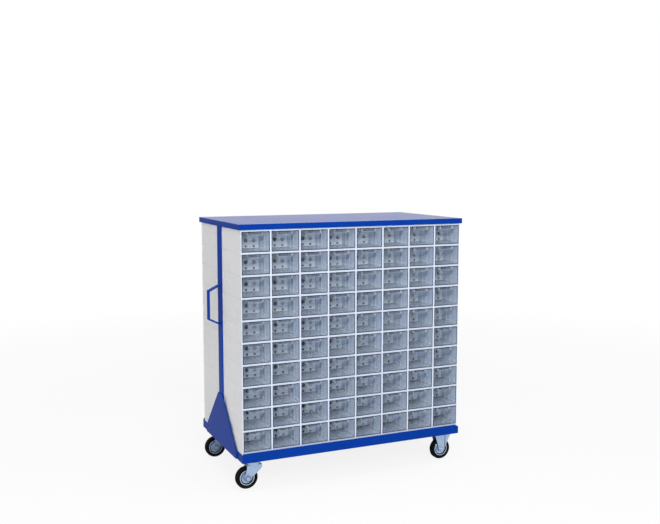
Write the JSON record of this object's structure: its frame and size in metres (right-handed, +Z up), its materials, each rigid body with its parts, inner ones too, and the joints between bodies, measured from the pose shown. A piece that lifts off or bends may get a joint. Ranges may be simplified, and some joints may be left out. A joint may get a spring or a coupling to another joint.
{
  "type": "parts bin cabinet",
  "caption": "Mobile double-sided cabinet of clear divided drawers in stacked plastic housings, with a steel base, top panel, push handle and casters.",
  "frame": {"origin": "middle of the whole cabinet's box, handle included, on the floor", "axes": "+X along the cabinet from the push handle to the fixed casters, -Y out of the front drawers and +Y out of the back ones, +Z up"},
  "size_m": [1.194, 0.63, 1.2137],
  "materials": {
    "blue_paint": "semi-gloss powder coat",
    "cream_plastic": "satin moulded plastic",
    "clear_plastic": "smoky clear moulded plastic",
    "zinc_steel": "bright zinc plate",
    "tyre_rubber": "solid rubber"
  },
  "bodies": {
    "cabinet": {"base_frame": "blue_paint", "cross_members": "blue_paint", "caster_pads": "blue_paint", "post_left": "blue_paint", "post_right": "blue_paint", "spine_rails": "blue_paint", "gusset_left": "blue_paint", "gusset_right": "blue_paint", "top_panel": "blue_paint", "push_handle": "blue_paint", "housings_front_left": "cream_plastic", "housings_front_right": "cream_plastic", "housings_back_left": "cream_plastic", "housings_back_right": "cream_plastic", "swivel_plates": "zinc_steel", "king_pins": "zinc_steel", "fixed_forks": "zinc_steel", "fixed_axle_bolts": "zinc_steel", "caster_bolts": "zinc_steel"},
    "swivel_front": {"swivel_fork_front": "zinc_steel", "axle_bolt_front": "zinc_steel"},
    "swivel_back": {"swivel_fork_back": "zinc_steel", "axle_bolt_back": "zinc_steel"},
    "wheel_front_left": {"wheel_rim_front_left": "zinc_steel", "tyre_front_left": "tyre_rubber"},
    "wheel_front_right": {"wheel_rim_front_right": "zinc_steel", "tyre_front_right": "tyre_rubber"},
    "wheel_back_left": {"wheel_rim_back_left": "zinc_steel", "tyre_back_left": "tyre_rubber"},
    "wheel_back_right": {"wheel_rim_back_right": "zinc_steel", "tyre_back_right": "tyre_rubber"},
    "drawers_front_row_1": {"drawers_front_row_1": "clear_plastic"},
    "drawers_front_row_2": {"drawers_front_row_2": "clear_plastic"},
    "drawers_front_row_3": {"drawers_front_row_3": "clear_plastic"},
    "drawers_front_row_4": {"drawers_front_row_4": "clear_plastic"},
    "drawers_front_row_6": {"drawers_front_row_6": "clear_plastic"},
    "drawers_front_row_7": {"drawers_front_row_7": "clear_plastic"},
    "drawers_front_row_8": {"drawers_front_row_8": "clear_plastic"},
    "drawers_front_row_9": {"drawers_front_row_9": "clear_plastic"},
    "drawers_front_row_10": {"drawers_front_row_10": "clear_plastic"},
    "drawer_front_5_1": {"drawer_front_5_1": "clear_plastic"},
    "drawer_front_5_2": {"drawer_front_5_2": "clear_plastic"},
    "drawer_front_5_3": {"drawer_front_5_3": "clear_plastic"},
    "drawer_front_5_4": {"drawer_front_5_4": "clear_plastic"},
    "drawer_front_5_5": {"drawer_front_5_5": "clear_plastic"},
    "drawer_front_5_6": {"drawer_front_5_6": "clear_plastic"},
    "drawer_front_5_7": {"drawer_front_5_7": "clear_plastic"},
    "drawer_front_5_8": {"drawer_front_5_8": "clear_plastic"},
    "drawers_back_row_1": {"drawers_back_row_1": "clear_plastic"},
    "drawers_back_row_2": {"drawers_back_row_2": "clear_plastic"},
    "drawers_back_row_3": {"drawers_back_row_3": "clear_plastic"},
    "drawers_back_row_4": {"drawers_back_row_4": "clear_plastic"},
    "drawers_back_row_5": {"drawers_back_row_5": "clear_plastic"},
    "drawers_back_row_6": {"drawers_back_row_6": "clear_plastic"},
    "drawers_back_row_7": {"drawers_back_row_7": "clear_plastic"},
    "drawers_back_row_8": {"drawers_back_row_8": "clear_plastic"},
    "drawers_back_row_9": {"drawers_back_row_9": "clear_plastic"},
    "drawers_back_row_10": {"drawers_back_row_10": "clear_plastic"}
  },
  "joints": [
    {"name": "swivel_front_turn", "type": "hinge", "parent": "cabinet", "child": "swivel_front", "pos_m": [-0.463, -0.245, 0.12], "axis": [0, 0, 1], "continuous": true},
    {"name": "swivel_back_turn", "type": "hinge", "parent": "cabinet", "child": "swivel_back", "pos_m": [-0.463, 0.245, 0.12], "axis": [0, 0, 1], "continuous": true},
    {"name": "wheel_front_left_spin", "type": "hinge", "parent": "swivel_front", "child": "wheel_front_left", "pos_m": [-0.498, -0.245, 0.052], "axis": [0, 1, 0], "continuous": true},
    {"name": "wheel_front_right_spin", "type": "hinge", "parent": "cabinet", "child": "wheel_front_right", "pos_m": [0.527, -0.245, 0.052], "axis": [0, 1, 0], "continuous": true},
    {"name": "wheel_back_left_spin", "type": "hinge", "parent": "swivel_back", "child": "wheel_back_left", "pos_m": [-0.498, 0.245, 0.052], "axis": [0, 1, 0], "continuous": true},
    {"name": "wheel_back_right_spin", "type": "hinge", "parent": "cabinet", "child": "wheel_back_right", "pos_m": [0.527, 0.245, 0.052], "axis": [0, 1, 0], "continuous": true},
    {"name": "row_slide_front_1", "type": "slide", "parent": "cabinet", "child": "drawers_front_row_1", "axis": [0, -1, 0], "range_m": [0, 0.2]},
    {"name": "row_slide_front_2", "type": "slide", "parent": "cabinet", "child": "drawers_front_row_2", "axis": [0, -1, 0], "range_m": [0, 0.2]},
    {"name": "row_slide_front_3", "type": "slide", "parent": "cabinet", "child": "drawers_front_row_3", "axis": [0, -1, 0], "range_m": [0, 0.2]},
    {"name": "row_slide_front_4", "type": "slide", "parent": "cabinet", "child": "drawers_front_row_4", "axis": [0, -1, 0], "range_m": [0, 0.2]},
    {"name": "row_slide_front_6", "type": "slide", "parent": "cabinet", "child": "drawers_front_row_6", "axis": [0, -1, 0], "range_m": [0, 0.2]},
    {"name": "row_slide_front_7", "type": "slide", "parent": "cabinet", "child": "drawers_front_row_7", "axis": [0, -1, 0], "range_m": [0, 0.2]},
    {"name": "row_slide_front_8", "type": "slide", "parent": "cabinet", "child": "drawers_front_row_8", "axis": [0, -1, 0], "range_m": [0, 0.2]},
    {"name": "row_slide_front_9", "type": "slide", "parent": "cabinet", "child": "drawers_front_row_9", "axis": [0, -1, 0], "range_m": [0, 0.2]},
    {"name": "row_slide_front_10", "type": "slide", "parent": "cabinet", "child": "drawers_front_row_10", "axis": [0, -1, 0], "range_m": [0, 0.2]},
    {"name": "slide_front_5_1", "type": "slide", "parent": "cabinet", "child": "drawer_front_5_1", "axis": [0, -1, 0], "range_m": [0, 0.2]},
    {"name": "slide_front_5_2", "type": "slide", "parent": "cabinet", "child": "drawer_front_5_2", "axis": [0, -1, 0], "range_m": [0, 0.2]},
    {"name": "slide_front_5_3", "type": "slide", "parent": "cabinet", "child": "drawer_front_5_3", "axis": [0, -1, 0], "range_m": [0, 0.2]},
    {"name": "slide_front_5_4", "type": "slide", "parent": "cabinet", "child": "drawer_front_5_4", "axis": [0, -1, 0], "range_m": [0, 0.2]},
    {"name": "slide_front_5_5", "type": "slide", "parent": "cabinet", "child": "drawer_front_5_5", "axis": [0, -1, 0], "range_m": [0, 0.2]},
    {"name": "slide_front_5_6", "type": "slide", "parent": "cabinet", "child": "drawer_front_5_6", "axis": [0, -1, 0], "range_m": [0, 0.2]},
    {"name": "slide_front_5_7", "type": "slide", "parent": "cabinet", "child": "drawer_front_5_7", "axis": [0, -1, 0], "range_m": [0, 0.2]},
    {"name": "slide_front_5_8", "type": "slide", "parent": "cabinet", "child": "drawer_front_5_8", "axis": [0, -1, 0], "range_m": [0, 0.2]},
    {"name": "row_slide_back_1", "type": "slide", "parent": "cabinet", "child": "drawers_back_row_1", "axis": [0, 1, 0], "range_m": [0, 0.2]},
    {"name": "row_slide_back_2", "type": "slide", "parent": "cabinet", "child": "drawers_back_row_2", "axis": [0, 1, 0], "range_m": [0, 0.2]},
    {"name": "row_slide_back_3", "type": "slide", "parent": "cabinet", "child": "drawers_back_row_3", "axis": [0, 1, 0], "range_m": [0, 0.2]},
    {"name": "row_slide_back_4", "type": "slide", "parent": "cabinet", "child": "drawers_back_row_4", "axis": [0, 1, 0], "range_m": [0, 0.2]},
    {"name": "row_slide_back_5", "type": "slide", "parent": "cabinet", "child": "drawers_back_row_5", "axis": [0, 1, 0], "range_m": [0, 0.2]},
    {"name": "row_slide_back_6", "type": "slide", "parent": "cabinet", "child": "drawers_back_row_6", "axis": [0, 1, 0], "range_m": [0, 0.2]},
    {"name": "row_slide_back_7", "type": "slide", "parent": "cabinet", "child": "drawers_back_row_7", "axis": [0, 1, 0], "range_m": [0, 0.2]},
    {"name": "row_slide_back_8", "type": "slide", "parent": "cabinet", "child": "drawers_back_row_8", "axis": [0, 1, 0], "range_m": [0, 0.2]},
    {"name": "row_slide_back_9", "type": "slide", "parent": "cabinet", "child": "drawers_back_row_9", "axis": [0, 1, 0], "range_m": [0, 0.2]},
    {"name": "row_slide_back_10", "type": "slide", "parent": "cabinet", "child": "drawers_back_row_10", "axis": [0, 1, 0], "range_m": [0, 0.2]}
  ]
}
